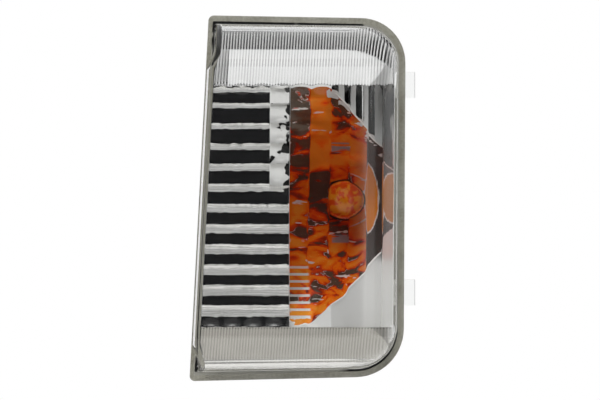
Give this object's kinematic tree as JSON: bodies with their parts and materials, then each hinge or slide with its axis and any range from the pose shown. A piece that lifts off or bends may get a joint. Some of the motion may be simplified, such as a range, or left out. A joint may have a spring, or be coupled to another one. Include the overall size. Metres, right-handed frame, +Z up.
{
  "type": "vehicle indicator lamp",
  "caption": "Door-mirror indicator lamp with a clear fluted lens, metallised reflector and louvre, and an amber bulb in a twist-out holder.",
  "frame": {"origin": "middle of the lamp's bounding box", "axes": "+Z up as fitted, +X right for someone facing the lens, -Y out through the lens"},
  "size_m": [0.0924, 0.069, 0.1499],
  "materials": {
    "clear_lens": "clear, gloss",
    "olive_sealant": "matt",
    "grey_housing": "fine matt",
    "bright_metallising": "mirror bright",
    "amber_glass": "clear, gloss",
    "clear_glass": "clear, gloss",
    "lead_wire": "drawn",
    "tungsten": "drawn",
    "black_plastic": "fine matt",
    "tinned_brass": "tinned, satin",
    "black_rubber": "matt",
    "zinc_steel": "zinc plated"
  },
  "bodies": {
    "lamp": {"outer_lens": "clear_lens", "sealant_bead": "olive_sealant", "housing": "grey_housing", "reflector": "bright_metallising", "louvre_bezel": "bright_metallising", "reflector_screw_1": "zinc_steel", "reflector_screw_2": "zinc_steel", "reflector_screw_3": "zinc_steel", "reflector_screw_4": "zinc_steel", "vent_cap": "black_rubber"},
    "holder": {"bulb_holder": "black_plastic", "holder_seal": "black_rubber", "contact_upper": "tinned_brass", "contact_lower": "tinned_brass", "bulb_envelope": "amber_glass", "bulb_bead": "clear_glass", "bulb_filament": "tungsten", "bulb_lead_left": "lead_wire", "bulb_lead_right": "lead_wire"}
  },
  "joints": [
    {"name": "holder_twist", "type": "hinge", "parent": "lamp", "child": "holder", "pos_m": [0.0175, 0.015, -0.0007], "axis": [0, 1, 0], "range_deg": [0, 45]}
  ]
}
